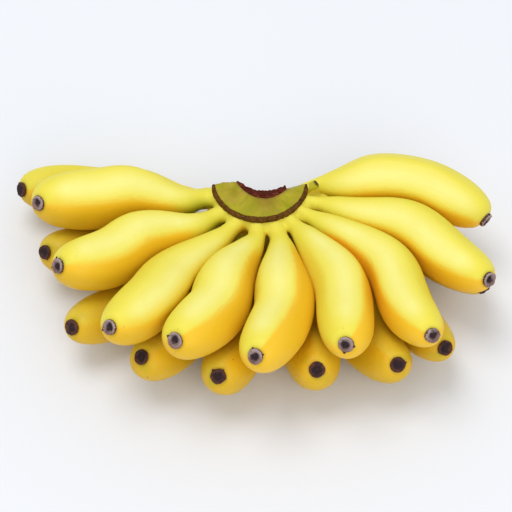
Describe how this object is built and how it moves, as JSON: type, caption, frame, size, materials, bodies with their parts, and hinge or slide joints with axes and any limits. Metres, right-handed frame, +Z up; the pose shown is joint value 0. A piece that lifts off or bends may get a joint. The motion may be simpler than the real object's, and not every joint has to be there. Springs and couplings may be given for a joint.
{
  "type": "hand of bananas",
  "caption": "Hand of small ripe bananas in two rows on a half-round cut crown, lying on its convex side with the blossom ends curling up.",
  "frame": {"origin": "middle of the whole hand's box, on the surface it lies on", "axes": "+Z up, away from the surface; +X to the right along the widest spread of the fingers; +Y towards the cut back of the crown"},
  "size_m": [0.3, 0.1812, 0.0769],
  "materials": {
    "ripe_peel": "smooth satin banana peel, lemon to golden yellow, greenish at the neck",
    "green_crown": "fibrous crown, olive green with yellow streaks",
    "dried_cut": "dried red-brown cut, rough and streaked",
    "brown_scar": "corky brown scar left by the leaf scale",
    "dried_tip": "dried blossom end, purple black and crumbly"
  },
  "bodies": {
    "root": {"crown": "green_crown", "bract_scar": "brown_scar", "dried_cut_face": "dried_cut", "finger_upper_1": "ripe_peel", "finger_upper_2": "ripe_peel", "finger_upper_3": "ripe_peel", "finger_upper_4": "ripe_peel", "finger_upper_5": "ripe_peel", "finger_upper_6": "ripe_peel", "finger_upper_7": "ripe_peel", "finger_upper_8": "ripe_peel", "finger_upper_9": "ripe_peel", "finger_lower_1": "ripe_peel", "finger_lower_2": "ripe_peel", "finger_lower_3": "ripe_peel", "finger_lower_4": "ripe_peel", "finger_lower_5": "ripe_peel", "finger_lower_6": "ripe_peel", "finger_lower_7": "ripe_peel", "finger_lower_8": "ripe_peel", "finger_lower_9": "ripe_peel", "dried_tip_upper_1": "dried_tip", "dried_tip_upper_2": "dried_tip", "dried_tip_upper_3": "dried_tip", "dried_tip_upper_4": "dried_tip", "dried_tip_upper_5": "dried_tip", "dried_tip_upper_6": "dried_tip", "dried_tip_upper_7": "dried_tip", "dried_tip_upper_8": "dried_tip", "dried_tip_upper_9": "dried_tip", "dried_tip_lower_1": "dried_tip", "dried_tip_lower_2": "dried_tip", "dried_tip_lower_3": "dried_tip", "dried_tip_lower_4": "dried_tip", "dried_tip_lower_5": "dried_tip", "dried_tip_lower_6": "dried_tip", "dried_tip_lower_7": "dried_tip", "dried_tip_lower_8": "dried_tip", "dried_tip_lower_9": "dried_tip"}
  },
  "joints": []
}
